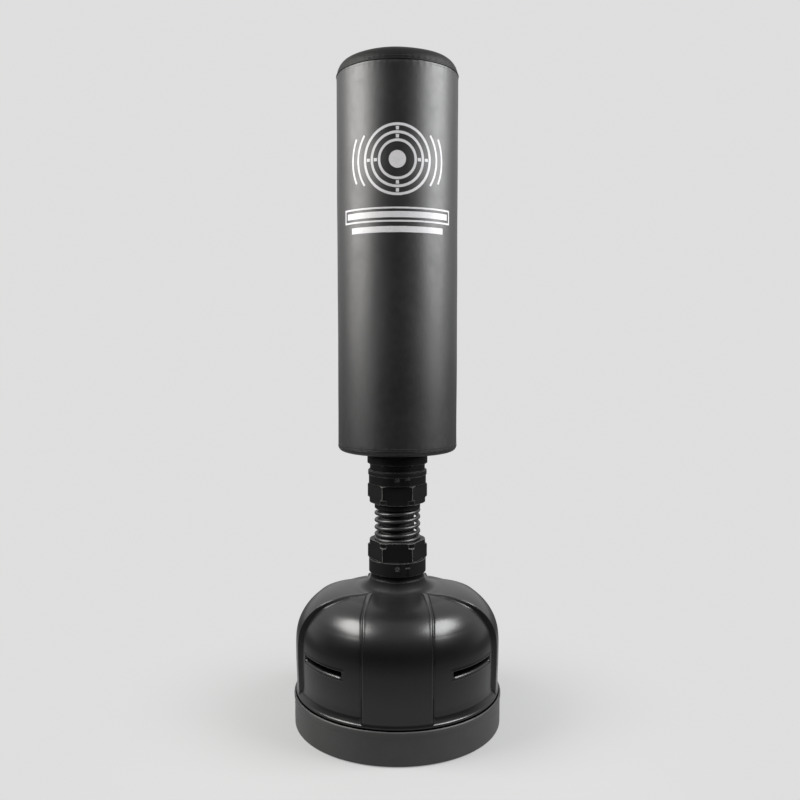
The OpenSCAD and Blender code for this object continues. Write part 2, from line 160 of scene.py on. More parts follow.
class Mat:
    """A small builder for node materials. Coordinates are the piece's own."""

    def __init__(self, name):
        self.m = bpy.data.materials.new(name)
        self.m.use_nodes = True
        self.t = self.m.node_tree
        self.b = self.t.nodes["Principled BSDF"]
        self.co = self.t.nodes.new("ShaderNodeTexCoord").outputs["Object"]

    def node(self, kind, **inputs):
        n = self.t.nodes.new(kind)
        for k, v in inputs.items():
            key = int(k[1:]) if k[0] == "i" and k[1:].isdigit() else k.replace("_", " ")
            if isinstance(v, bpy.types.NodeSocket):
                self.t.links.new(v, n.inputs[key])
            else:
                n.inputs[key].default_value = v
        return n

    def scaled(self, v):
        n = self.node("ShaderNodeMapping", Vector=self.co)
        n.inputs["Scale"].default_value = v if hasattr(v, "__len__") else (v, v, v)
        return n.outputs[0]

    def noise(self, scale, detail=4.0, rough=0.55, vec=None):
        return self.node("ShaderNodeTexNoise", Vector=vec or self.co, Scale=scale, Detail=detail,
                         Roughness=rough).outputs["Fac"]

    def voronoi(self, scale, feature="F1", vec=None, smooth=None):
        n = self.t.nodes.new("ShaderNodeTexVoronoi")
        n.feature = feature
        self.t.links.new(vec or self.co, n.inputs["Vector"])
        n.inputs["Scale"].default_value = scale
        return n.outputs["Distance"]

    def ramp(self, fac, lo, hi, a=0.0, b=1.0):
        n = self.t.nodes.new("ShaderNodeMapRange")
        self.t.links.new(fac, n.inputs["Value"])
        for k, v in (("From Min", lo), ("From Max", hi), ("To Min", a), ("To Max", b)):
            n.inputs[k].default_value = v
        return n.outputs[0]

    def math(self, op, a, b=0.0, clamp=False):
        n = self.t.nodes.new("ShaderNodeMath")
        n.operation, n.use_clamp = op, clamp
        for i, v in enumerate((a, b)):
            if isinstance(v, bpy.types.NodeSocket):
                self.t.links.new(v, n.inputs[i])
            else:
                n.inputs[i].default_value = v
        return n.outputs[0]

    def mix(self, fac, a, b):
        n = self.t.nodes.new("ShaderNodeMix")
        n.data_type = "RGBA"
        for key, v in ((0, fac), (6, a), (7, b)):
            if isinstance(v, bpy.types.NodeSocket):
                self.t.links.new(v, n.inputs[key])
            else:
                n.inputs[key].default_value = v if key == 0 else (*v, 1)
        return n.outputs[2]

    def edges(self, lo=0.505, hi=0.56):
        g = self.t.nodes.new("ShaderNodeNewGeometry")
        return self.ramp(g.outputs["Pointiness"], lo, hi)

    def bump(self, height, strength, distance, normal=None):
        n = self.node("ShaderNodeBump", Height=height, Strength=strength, Distance=distance)
        if normal is not None:
            self.t.links.new(normal, n.inputs["Normal"])
        return n.outputs[0]

    def bevel(self, radius):
        n = self.node("ShaderNodeBevel", Radius=radius)
        n.samples = 6
        return n.outputs[0]

    def rims(self, radius, lo=0.006, hi=0.06):
        """1 on the rounded-off edges of a part and 0 on its faces."""
        g = self.t.nodes.new("ShaderNodeNewGeometry")
        d = self.t.nodes.new("ShaderNodeVectorMath")
        d.operation = "DOT_PRODUCT"
        self.t.links.new(self.bevel(radius), d.inputs[0])
        self.t.links.new(g.outputs["True Normal"], d.inputs[1])
        return self.ramp(self.math("SUBTRACT", 1.0, d.outputs["Value"]), lo, hi)

    def done(self, color, rough, normal=None, metallic=0.0, **more):
        for key, v in (("Base Color", color), ("Roughness", rough), ("Normal", normal), ("Metallic", metallic),
                       *((k.replace("_", " "), v) for k, v in more.items())):
            if v is None:
                continue
            if isinstance(v, bpy.types.NodeSocket):
                self.t.links.new(v, self.b.inputs[key])
            elif isinstance(v, tuple) and len(v) == 3:
                self.b.inputs[key].default_value = (*v, 1)
            else:
                self.b.inputs[key].default_value = v
        return self.m


def plastic(name, base, rough, grain=1.0, bevel=0.0, wear=0.25, spec=0.5, texture=2600.0, rim_highlight=0.0, calm=1.0, matt=None):
    """Moulded plastic: fine spark-eroded grain, faint flow marks, scuffs and paler worn edges, and, where asked for, a
    painted highlight along the rounded rims.
    """
    m = Mat(name)
    patch = m.noise(9.0, 5.0)
    dust = m.ramp(m.noise(38.0, 8.0, 0.62), 0.5, 0.78)
    tint = m.mix(m.ramp(patch, 0.3, 0.72), tuple(c * 0.86 for c in base), tuple(c * 1.2 for c in base))
    tint = m.mix(m.math("MULTIPLY", dust, 0.22 * calm), tint, tuple(c * 1.9 + 0.003 for c in base))
    tint = m.mix(m.math("MULTIPLY", m.edges(), wear), tint, tuple(c * 2.2 + 0.02 for c in base))
    # painted highlight: the rounded rims turn pale grey, broken up by noise, standing in for light caught by the bevels
    if rim_highlight:
        edge_tint = m.math("MULTIPLY", m.rims(bevel * 1.5), m.ramp(m.noise(55.0, 4.0), 0.25, 0.6, 0.45, 1.0))
        tint = m.mix(m.math("MULTIPLY", edge_tint, rim_highlight, True), tint, (0.20, 0.196, 0.19))
    scuff = m.noise(1.0, 6.0 * calm, 0.7 * calm, vec=m.scaled((30.0, 30.0, 180.0)))
    r = m.math("ADD", m.ramp(patch, 0.3, 0.7, rough - 0.04 * calm, rough + 0.05 * calm),
               m.ramp(scuff, 0.45, 0.9, 0.0, 0.05 * calm))
    if matt:
        # the tight bend round the axis came dull out of the mould
        away = m.node("ShaderNodeVectorMath", i0=m.scaled((1.0, 1.0, 0.0)))
        away.operation = "LENGTH"
        dull = m.ramp(away.outputs["Value"], matt[0], matt[1], 1.0, 0.0)
        r = m.math("ADD", r, m.math("MULTIPLY", dull, 0.30))
        spec = m.math("SUBTRACT", spec, m.math("MULTIPLY", dull, spec * 0.55))
    fine = m.noise(texture, 2.0)
    n = m.bevel(bevel) if bevel else None
    n = m.bump(fine, 0.10 * grain, 0.0004, n)
    n = m.bump(m.noise(24.0, 2.0), 0.06 * min(grain, 1), 0.0014, n)
    return m.done(tint, r, n, Specular_IOR_Level=spec)


def leather(name, base, rough, scale=620.0, strength=0.22, spec=0.5):
    """Coated leather cloth: pebbled grain, soft creases, slightly worn high spots."""
    m = Mat(name)
    warp = m.noise(60.0, 2.0)
    vec = m.node("ShaderNodeVectorMath", i0=m.co).outputs[0]
    cells = m.voronoi(scale, "F1", vec)
    fold = m.voronoi(scale * 0.42, "SMOOTH_F1", vec)
    creases = m.noise(1.0, 5.0, 0.6, vec=m.scaled((26.0, 26.0, 9.0)))
    patch = m.noise(5.0, 4.0)
    tint = m.mix(m.ramp(patch, 0.3, 0.7), tuple(c * 0.88 for c in base), tuple(c * 1.16 for c in base))
    tint = m.mix(m.ramp(cells, 0.15, 0.75, 0.0, 0.5), tint, tuple(c * 0.55 for c in base))
    tint = m.mix(m.math("MULTIPLY", m.ramp(m.noise(47.0, 7.0, 0.65), 0.56, 0.8), 0.18), tint,
                 tuple(c * 2.0 + 0.004 for c in base))
    r = m.math("ADD", m.ramp(patch, 0.3, 0.7, rough - 0.03, rough + 0.04), m.ramp(warp, 0.4, 0.7, -0.02, 0.03))
    height = m.math("ADD", m.math("MULTIPLY", cells, 0.7), m.math("MULTIPLY", fold, 0.5))
    n = m.bump(height, strength, 0.00045)
    n = m.bump(creases, 0.16, 0.0016, n)
    return m.done(tint, r, n, Specular_IOR_Level=spec, Sheen_Weight=0.03, Sheen_Roughness=0.4)


def rubber(name, base, rough):
    m = Mat(name)
    bloom = m.ramp(m.noise(30.0, 7.0, 0.65), 0.48, 0.8)
    tint = m.mix(m.math("MULTIPLY", bloom, 0.5), base, tuple(c * 2.4 + 0.01 for c in base))
    n = m.bump(m.noise(900.0, 3.0), 0.14, 0.0004)
    return m.done(tint, m.ramp(m.noise(14.0), 0.3, 0.7, rough - 0.06, rough + 0.06), n, Specular_IOR_Level=0.35)


def painted(name, base, rough, wear=0.35):
    """Glossy paint over steel, thin at the crests, with bare metal where it has rubbed."""
    m = Mat(name)
    edge_tint = m.math("MULTIPLY", m.edges(0.52, 0.60), m.ramp(m.noise(160.0, 6.0, 0.7), 0.45, 0.7))
    edge_tint = m.math("MULTIPLY", edge_tint, wear)
    chips = m.ramp(m.noise(70.0, 9.0, 0.75), 0.68, 0.72)
    tint = m.mix(m.ramp(m.noise(12.0), 0.3, 0.7), tuple(c * 0.8 for c in base), tuple(c * 1.4 for c in base))
    tint = m.mix(m.math("MAXIMUM", edge_tint, m.math("MULTIPLY", chips, 0.5)), tint, (0.16, 0.155, 0.15))
    r = m.ramp(m.noise(90.0, 6.0, 0.6), 0.3, 0.75, rough, rough + 0.14)
    n = m.bump(m.noise(420.0, 3.0), 0.09, 0.0006)
    return m.done(tint, r, n, Coat_Weight=0.12, Coat_Roughness=0.2)


def metal(name, base, rough, bevel=0.0003):
    m = Mat(name)
    brush = m.noise(1.0, 4.0, 0.6, vec=m.scaled((2400.0, 2400.0, 160.0)))
    stain = m.ramp(m.noise(120.0, 7.0, 0.65), 0.5, 0.8)
    tint = m.mix(stain, base, tuple(c * 0.6 for c in base))
    n = m.bump(brush, 0.12, 0.0002, m.bevel(bevel))
    return m.done(tint, m.ramp(brush, 0.3, 0.7, rough - 0.08, rough + 0.1), n, metallic=1.0)


def weave(name, base, pitch):
    """Woven tape: over and under threads, with loose fibre colour."""
    m = Mat(name)
    x = m.node("ShaderNodeSeparateXYZ", Vector=m.co)
    k = TAU / pitch
    over = m.math("SINE", m.math("MULTIPLY", x.outputs[0], k))
    up = m.math("SINE", m.math("MULTIPLY", x.outputs[2], k))
    h = m.math("ABSOLUTE", m.math("MULTIPLY", over, up))
    fuzz = m.noise(3000.0, 3.0)
    # painted shade and highlight: the colour follows thread height, darker where the threads dip under and paler on
    # their crowns
    tint = m.mix(m.ramp(h, 0.0, 1.0), tuple(c * 0.45 for c in base), tuple(c * 1.5 for c in base))
    tint = m.mix(m.ramp(fuzz, 0.6, 0.8, 0.0, 0.4), tint, tuple(c * 2.4 + 0.01 for c in base))
    n = m.bump(m.math("ADD", h, m.math("MULTIPLY", fuzz, 0.4)), 0.5, 0.0003)
    return m.done(tint, 0.85, n, Sheen_Weight=0.3)


def ink(name, base):
    """Screen print: matt ink with pinholes and a faint crackle."""
    m = Mat(name)
    hole = m.ramp(m.noise(420.0, 5.0, 0.7), 0.60, 0.68)
    wear = m.ramp(m.noise(36.0, 8.0, 0.7), 0.5, 0.8)
    tint = m.mix(m.math("MULTIPLY", wear, 0.35), base, tuple(c * 0.6 for c in base))
    tint = m.mix(m.math("MULTIPLY", hole, 0.6), tint, (0.05, 0.05, 0.052))
    n = m.bump(m.voronoi(620.0), 0.22, 0.0004)
    return m.done(tint, m.ramp(wear, 0.0, 1.0, 0.42, 0.56), n, Specular_IOR_Level=0.35)


def wood(name):
    m = Mat(name)
    ring = m.noise(1.0, 6.0, 0.6, vec=m.scaled((14.0, 120.0, 14.0)))
    tint = m.mix(m.ramp(ring, 0.3, 0.7), (0.42, 0.27, 0.14), (0.62, 0.45, 0.27))
    return m.done(tint, m.ramp(ring, 0.3, 0.7, 0.55, 0.75), m.bump(ring, 0.2, 0.0008))


def foam(name, base):
    m = Mat(name)
    cells = m.voronoi(900.0)
    tint = m.mix(m.ramp(cells, 0.2, 0.8), base, tuple(c * 0.6 for c in base))
    return m.done(tint, 0.95, m.bump(cells, 0.5, 0.0008))


HDPE = plastic("blow_moulded_plastic", (0.0086, 0.0086, 0.0088), 0.28, grain=0.04, wear=0.03, texture=1800.0,
               calm=0.2, matt=(0.080, 0.098))
TRAY = plastic("tray_plastic_black", (0.0235, 0.0232, 0.0230), 0.50, grain=1.2, wear=0.15, texture=1600.0)
SLEEVE = plastic("sleeve_plastic", (0.0020, 0.0020, 0.0022), 0.42, bevel=0.0010, wear=0.2, spec=0.10, rim_highlight=0.5)
NUT = plastic("nut_plastic_black", (0.0018, 0.0018, 0.0020), 0.38, bevel=0.0016, wear=0.2, spec=0.10, rim_highlight=0.8)
SEAT = plastic("seat_plastic_black", (0.0018, 0.0018, 0.0020), 0.5, bevel=0.0006, spec=0.12, rim_highlight=0.3)
CAP = plastic("cap_plastic_black", (0.008, 0.008, 0.008), 0.44, bevel=0.0005)
PIPE = plastic("pipe_plastic_grey", (0.02, 0.02, 0.02), 0.45, bevel=0.0004)
SLIP = plastic("slip_ring_plastic", (0.04, 0.04, 0.036), 0.5, bevel=0.0002)
COIL = painted("spring_black_paint", (0.005, 0.005, 0.0054), 0.34)
GRUB = painted("screw_black_steel", (0.03, 0.03, 0.032), 0.32, wear=0.8)
STEEL = metal("screw_zinc_steel", (0.55, 0.55, 0.56), 0.35)
ZIPMETAL = metal("zip_grey_metal", (0.30, 0.30, 0.31), 0.32)
FOOT = rubber("foot_black_rubber", (0.014, 0.014, 0.014), 0.62)
SEAL = rubber("gasket_rubber", (0.02, 0.02, 0.02), 0.6)
BUFFER = rubber("buffer_rubber_black", (0.0020, 0.0020, 0.0022), 0.6)
SKIN = leather("cover_black_leather", (0.0036, 0.0036, 0.0039), 0.47, spec=0.58)
CROWN = leather("crown_black_leather", (0.0040, 0.0039, 0.0038), 0.60, scale=560.0, spec=0.2)
WELT = leather("welt_black_leather", (0.0050, 0.0050, 0.0054), 0.56, scale=900.0, spec=0.22)
THREAD = weave("stitch_thread", (0.012, 0.012, 0.013), 0.0009)
TAPE = weave("zip_woven_tape", (0.012, 0.012, 0.012), 0.0011)
TOOTH = plastic("zip_tooth_plastic", (0.012, 0.012, 0.012), 0.3)
INK = ink("screen_print_grey", (0.46, 0.455, 0.465))


def paint(ob, mat):
    if ob.material_slots:
        for s in ob.material_slots:
            s.material = mat
    else:
        ob.data.materials.append(mat)
    return ob


for mat, names in ((SLEEVE, ("lower_connector", "upper_connector", "bottom_flange")),
                   (NUT, ("lower_union_nut", "upper_union_nut")),
                   (SEAT, ("lower_spring_seat", "upper_spring_seat")),
                   (CAP, ("filler_cap", "core_tube_cap")),
                   (PIPE, ("post_tube", "core_tube")),
                   (SLIP, ("lower_nut_washer", "upper_nut_washer")),
                   (GRUB, ("lower_lock_screws", "upper_lock_screws", "flange_screws")),
                   (STEEL, ("tray_screws",)),
                   (ZIPMETAL, ("zip_slider", "zip_pull", "zip_stops")),
                   (FOOT, ("suction_feet",)), (SEAL, ("filler_seal",)),
                   (wood("board_plywood"), ("bottom_board",)),
                   (foam("foam_firm_yellow", (0.62, 0.5, 0.28)), ("foam_core",))):
    for n in names:
        paint(N[n], mat)


# ---- the tank ----------------------------------------------------------------

BAND = [(259.0, 91.6), (258.1, 93.6), (257.5, 96.5), (257.4, 101), (257.4, 119), (257.9, 137), (258.5, 155),
        (258.9, 172), (259.1, 186), (259.2, 198), (259.2, 209), (258.8, 222), (257.6, 236), (254.9, 250),
        (250.6, 263.3), (244.6, 275.8), (237.2, 287.8), (228.6, 298.6), (218.6, 308.6), (207.4, 317.6),
        (196.0, 324.4), (184.0, 329.6), (170, 334.4), (156, 338.0), (140, 340.9), (126, 342.7), (112, 344.0),
        (102, 345.4), (94, 346.0), (88.4, 346.8), (83.6, 348.0), (79.6, 350.0), (76.0, 353.4), (73.2, 357.8),
        (71.0, 362.6), (69.6, 367), (68.7, 371)]
LOW = [(59.6, 22.4), (150, 22.4), (249.5, 22.4), (252.6, 23.4), (254, 26), (254, 60), (254.1, 82), (255.2, 84.2),
       (257.6, 85.3), (259.0, 86.4), (259.4, 87.8), (259.4, 90.2), (259.0, 91.6)]


def build_tank():
    cols = 720
    b = spline(BAND, 6)
    # extra rows across the grip pockets
    keep = [p for p in b if not 181.5 < p[1] < 209.5 or p[0] < 200]
    zs = [182, 183.2, 184.2, 185.0, 185.8, 186.6, 187.4, 188.2, 189.0, 189.8, 190.6, 191.2, 191.8, 192.3, 192.8, 193.4,
          195, 198, 201, 202.8, 203.6, 204.2, 204.7, 205.2, 205.8, 206.5, 207.4, 208.6, 209.4]
    side = np.array([p for p in b if p[0] > 200])
    keep += [np.array([np.interp(z, side[:, 1], side[:, 0]), z]) for z in zs]
    lower = sorted([p for p in keep if p[0] > 240 and p[1] < 270], key=lambda p: p[1])
    upper = [p for p in keep if not (p[0] > 240 and p[1] < 270)]
    b = np.array(lower + upper)
    t = np.gradient(b, axis=0)
    t /= np.linalg.norm(t, axis=1)[:, None]
    inward = np.stack([-t[:, 1], t[:, 0]], 1)
    depth = np.interp(b[:, 1], [91.6, 98, 103, 119, 200, 235, 262, 290, 310, 325, 335, 342],
                      [0, 4.6, 7.2, 8.1, 8.4, 8.8, 9.6, 10.0, 9.0, 7.4, 5.8, 4.4])
    depth = depth * (0.12 + 0.88 * step(114, 150, b[:, 0]))
    q = b + inward * depth[:, None]
    q[:, 1] += step(91.6, 97, b[:, 1]) * (1 - step(99, 116, b[:, 1])) * 1.5
    a = TAU * (np.arange(cols) + 0.5) / cols
    ca, sa = np.cos(a)[None, :], np.sin(a)[None, :]
    br, bz, qr, qz = (v[:, None] for v in (b[:, 0], b[:, 1], q[:, 0], q[:, 1]))
    m = np.minimum(np.abs(br * ca), np.abs(br * sa))
    # the bands draw in a little where they meet the neck
    half = np.interp(br, [90, 106, 141, 170, 190, 200], [61, 67.5, 72.5, 76.2, 79.0, 79.6])
    w = 1 - step(half, half + 6.6, m)
    # a fine crease at the foot of each band edge and a soft lip on its shoulder
    crease = np.exp(-((m - half - 7.6) / 1.5) ** 2) * 1.5 * step(96, 104, bz) * (1 - step(90, 118, -br + 2 * 104))
    lip = np.exp(-((m - half + 1.0) / 2.6) ** 2) * 0.55 * step(98, 108, bz)
    off = (lip - crease) * step(84, 104, br)
    r = qr + (br - qr) * w + np.broadcast_to(-inward[:, 0][:, None] * off, w.shape)
    z = qz + (bz - qz) * w + np.broadcast_to(-inward[:, 1][:, None] * off, w.shape)
    # grip pockets: azimuth counted from the front or the rear
    az = np.degrees(np.arctan2(np.abs(ca), np.abs(sa))) + 0 * bz
    zz = bz + 0 * az
    wall = step(31.2, 32.6, az) * (1 - step(63.4, 64.8, az))
    lip_z = np.clip((zz - 185.2) / 6.6, 0, 1)
    mouth = (0.26 * lip_z ** 1.6 + 0.74 * step(191.0, 192.8, zz)) * (1 - step(203.9, 205.6, zz)) * (br > 235)
    ridge = (1.3 * np.exp(-((zz - 207.8) / 1.7) ** 2) + 0.5 * np.exp(-((zz - 184.4) / 1.3) ** 2)) * step(29.5, 31.5, az) \
        * (1 - step(64.5, 66.5, az)) * (br > 235)
    r = r - 21.5 * wall * mouth + 1.0 * ridge
    r = r + waves(a[None, :], z / 1000, 5, 14, 0.22, 9, 6.0) * step(110, 150, z) * step(80, 110, br)
    x, y = r * ca, r * sa
    low = spline(LOW, 2)[:-1]
    verts = [np.stack([p[0] * ca[0], p[0] * sa[0], np.full(cols, p[1])], -1) for p in low]
    verts += [np.stack([x[i], y[i], z[i] + 0 * x[i]], -1) for i in range(len(b))]
    for rr, h in ((68.2, 371.3), (66.4, 371.4), (60.5, 371.4), (60, 370.6), (59.9, 350), (59.9, 60)):
        verts.append(np.stack([rr * ca[0], rr * sa[0], np.full(cols, min(h, 371.0))], -1))
    rows = len(verts)
    return mesh_object("tank_shell", np.vstack(verts), grid_faces(rows, cols), sharp=70)


tank = paint(build_tank(), HDPE)
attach(tank, "base"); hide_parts("base_tank")

spout = [(21.2, 334), (21.2, 365), (22.2, 366), (24.4, 366), (25.3, 365)]
for i in range(2):
    z = 363.5 - 6 * i
    spout += [(25.4, z), (26.7, z - 1.2), (27.0, z - 2.0), (26.7, z - 2.8), (25.4, z - 4.0)]
spout += [(25.6, 349), (28.4, 347.4), (29, 346.2), (29.4, 341), (31, 337.6), (36, 333), (36, 322)]
neck_ring = paint(lathe("filler_spout", spout, 96, centre=(0, 165), sharp=50), HDPE)
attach(neck_ring, "base")
plug = paint(lathe("filler_bore_floor", [(0, 345.0), (12, 345.1), (20, 345.6), (21.3, 347.0)], 64, centre=(0, 165)),
             HDPE)
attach(plug, "base")


# ---- the tray ------------------------------------------------------------------

def bar(x0, x1, y0, y1, z0, z1, angle, b=0.5):
    """A bar with bevelled edges, turned about Z: points and faces."""
    pts = []
    for z, k in ((z0, b), (z0 + b, 0), (z1 - b, 0), (z1, b)):
        for x, y in ((x0 + k, y0), (x0, y0 + k), (x0, y1 - k), (x0 + k, y1), (x1 - k, y1), (x1, y1 - k), (x1, y0 + k),
                     (x1 - k, y0)):
            if k:
                x = min(max(x, x0 + k), x1 - k)
                y = min(max(y, y0 + k), y1 - k)
            pts.append((x * math.cos(angle) - y * math.sin(angle), x * math.sin(angle) + y * math.cos(angle), z))
    faces = [tuple(range(7, -1, -1)), tuple(range(24, 32))]
    for i in range(3):
        for j in range(8):
            faces.append((i * 8 + j, i * 8 + (j + 1) % 8, (i + 1) * 8 + (j + 1) % 8, (i + 1) * 8 + j))
    return pts, faces


def merge(name, parts, sharp=38):
    verts, faces = [], []
    for v, f in parts:
        k = len(verts)
        verts.extend(v)
        faces.extend(tuple(i + k for i in q) for q in f)
    return mesh_object(name, verts, faces, sharp=sharp)


skirt = [(0, 14), (258.6, 14), (260.0, 13.2), (260.2, 11), (260.3, 4), (260.7, 2.6), (261.5, 2.1), (262.4, 2.5), (262.9, 3.6),
         (263.0, 6), (263.1, 30), (263.0, 62), (263.1, 66.5), (263.5, 69), (264.1, 71), (264.5, 73.2), (264.6, 76),
         (264.5, 79.2), (264.1, 81.6), (263.3, 83.2), (262.2, 83.9), (261.2, 83.8), (260.6, 83.1), (260.3, 81.6),
         (260.2, 60), (260.2, 20), (259.4, 18.4), (258, 18), (0, 18)]
tray = paint(lathe("tray_shell", skirt, 256, sharp=60), TRAY)
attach(tray, "base"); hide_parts("base_tray")
ribs = [bar(31, 260.4, -1.5, 1.5, 5, 14.4, math.radians(22.5 + 45 * i)) for i in range(8)]
ribs = paint(merge("tray_ribs", ribs), TRAY)
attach(ribs, "base")
for r, z0, z1, name in ((80, 17.9, 22, "tray_ring_inner"), (196, 17.9, 22, "tray_ring_middle"),
                        (240, 17.9, 22, "tray_ring_outer"), (30, 5, 14.1, "tray_hub_ring")):
    o = paint(lathe(name, rounded([(r, z0), (r + 4, z0), (r + 4, z1), (r, z1)], 0.7, 3), 128, closed=True), TRAY)
    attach(o, "base")


# ---- the spring and the buffer --------------------------------------------------

def rise(u):
    z = 484.8 + np.where(u < 0, 13.8 * u, np.where(u < 3, 18.4 * u, 55.2 + 13.3 * (u - 3)))
    return np.clip(z, 471.0, 544.0)


def coil(name, u0, u1):
    n, m = 72, 28
    steps = int(round((u1 - u0) * n))
    u = np.linspace(u0, u1, steps + 1)
    zc = np.mean([rise(u + d) for d in np.linspace(-0.06, 0.06, 9)], axis=0)
    a = -math.pi / 2 + TAU * u
    b = TAU * np.arange(m) / m
    ends = []
    for sign, at in ((-1, 0), (1, steps)):
        real = abs(u[at] + 1.25) < 1e-6 or abs(u[at] - 3.6) < 1e-6
        ends.append(real)
    verts, faces = [], []
    scale = np.ones(steps + 1) * 5.0
    for i in range(steps + 1):
        rr = 53.5 + scale[i] * np.cos(b)
        verts.append(np.stack([rr * np.cos(a[i]), rr * np.sin(a[i]), zc[i] + scale[i] * np.sin(b)], -1))
    faces = [tuple(f) for f in grid_faces(steps + 1, m)]
    faces += [tuple(range(m - 1, -1, -1)), tuple(steps * m + k for k in range(m))]
    return mesh_object(name, np.vstack(verts), faces, sharp=50)


u_mid = (507.5 - 484.8) / 18.4
for name, u0, u1, a, b, z0, z1 in (("coil_lower", -1.25, u_mid, "base", "spring", 0.466, 0.5075),
                                   ("coil_upper", u_mid, 3.6, "spring", "bag", 0.5075, 0.549)):
    o = paint(coil(name, u0, u1), COIL)
    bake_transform(o)
    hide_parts("coil_spring")


def buffer(name, z0, z1):
    zs = np.linspace(z0, z1, 90)
    ring = 41.2 + 1.8 * np.abs(np.cos((zs - 474) / 67 * math.pi * 6.0)) ** 0.6
    prof = [(12, z0)] + [(r, z) for r, z in zip(ring, zs)] + [(12, z1)]
    return lathe(name, prof, 96, sharp=60)


for name, z0, z1, a, b in (("buffer_lower", 474, 507.5, "base", "spring"),
                           ("buffer_upper", 507.5, 541, "spring", "bag")):
    o = paint(buffer(name, z0, z1), BUFFER)
    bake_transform(o)
    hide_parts("rubber_buffer")


# ---- the bag ---------------------------------------------------------------------

BOTTOM, PANEL, SEAM, TOP = 696.0, 710.0, 1614.0, 1660.0


def puff(ob, pinned, pressure, frames, cap):
    """Cloth under inner pressure, with some points held; no point moves more than cap millimetres."""
    before = np.array([v.co for v in ob.data.vertices])
    group = ob.vertex_groups.new(name="held")
    group.add([int(i) for i in pinned], 1.0, "REPLACE")
    mod = ob.modifiers.new("Cloth", "CLOTH")
    s = mod.settings
    s.quality = 6
    s.mass = 0.4
    s.tension_stiffness = s.compression_stiffness = 25
    s.shear_stiffness = 8
    s.bending_stiffness = 0.6
    s.use_pressure = True
    s.uniform_pressure_force = pressure
    s.vertex_group_mass = "held"
    s.effector_weights.gravity = 0.0
    mod.point_cache.frame_start, mod.point_cache.frame_end = 1, frames + 1
    scene = bpy.context.scene
    for f in range(1, frames + 1):
        scene.frame_set(f)
    deps = bpy.context.evaluated_depsgraph_get()
    got = ob.evaluated_get(deps).to_mesh()
    after = np.array([v.co for v in got.vertices])
    ob.evaluated_get(deps).to_mesh_clear()
    ob.modifiers.remove(mod)
    ob.vertex_groups.clear()
    scene.frame_set(1)
    move = after - before
    size = np.linalg.norm(move, axis=1)[:, None]
    move *= np.minimum(1, cap * MM / np.maximum(size, 1e-9))
    ob.data.vertices.foreach_set("co", (before + move).ravel())
    ob.data.update()


def side_panel():
    cols, rows = 240, 228
    a = TAU * np.arange(cols) / cols
    t = np.linspace(0, 1, rows)
    # closer rows at both seams
    z = PANEL + 0.4 + (SEAM - PANEL - 0.8) * (t + 0.12 * np.sin(TAU * t) / TAU * -1)
    zz, aa = np.meshgrid(z, a, indexing="ij")
    r = np.full_like(zz, 149.0)
    top, bot = SEAM - zz, zz - PANEL
    r += 0.45 * waves(aa, zz / 1000, 11, 18, 1.0, 7, 1.6) * step(0, 60, top) * step(0, 50, bot)
    r += 0.20 * waves(aa, zz / 1000, 12, 22, 1.0, 15, 5.0) * step(0, 90, top) * step(0, 80, bot)
    # small gathers that run from the seams
    r += 0.42 * np.sin(61 * aa + 1.7 * np.sin(3 * aa)) * np.exp(-top / 11) * (1 - np.exp(-top / 3))
    r += 0.30 * np.sin(53 * aa + 1.3 * np.sin(4 * aa)) * np.exp(-bot / 12) * (1 - np.exp(-bot / 3))
    # the edge rolls into the seam
    r -= 1.0 * np.exp(-top / 2.2) + 0.5 * np.exp(-bot / 2.5)
    verts = np.stack([r * np.cos(aa), r * np.sin(aa), zz], -1).reshape(-1, 3)
    ob = mesh_object("bag_side_panel", verts, grid_faces(rows, cols))
    held = np.concatenate([np.arange(cols * 2), np.arange(cols * (rows - 2), cols * rows)])
    puff(ob, held, 1.2, 14, 1.1)
    return ob


def limit_radius(ob, r_max):
    co = np.empty(len(ob.data.vertices) * 3)
    ob.data.vertices.foreach_get("co", co)
    co = co.reshape(-1, 3)
    r = np.hypot(co[:, 0], co[:, 1])
    k = np.minimum(1, r_max * MM / np.maximum(r, 1e-9))
    co[:, :2] *= k[:, None]
    ob.data.vertices.foreach_set("co", co.ravel())
    ob.data.update()


side = paint(side_panel(), SKIN)
limit_radius(side, 150.3)
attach(side, "bag"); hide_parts("bag_cover", "foam_outer")


def crown(r):
    """Height of the top over its seam at radius r."""
    c = 150.0 - 36.0
    flat = 36.0 * math.sin(math.radians(76))
    edge = c + 36.0 * math.cos(math.radians(76))
    r = np.asarray(r, float)
    arc = np.sqrt(np.maximum(36.0 ** 2 - np.maximum(r - c, 0) ** 2, 0))
    dome = flat + (46.0 - flat) * (1 - (r / edge) ** 2)
    return np.where(r > edge, arc, dome)


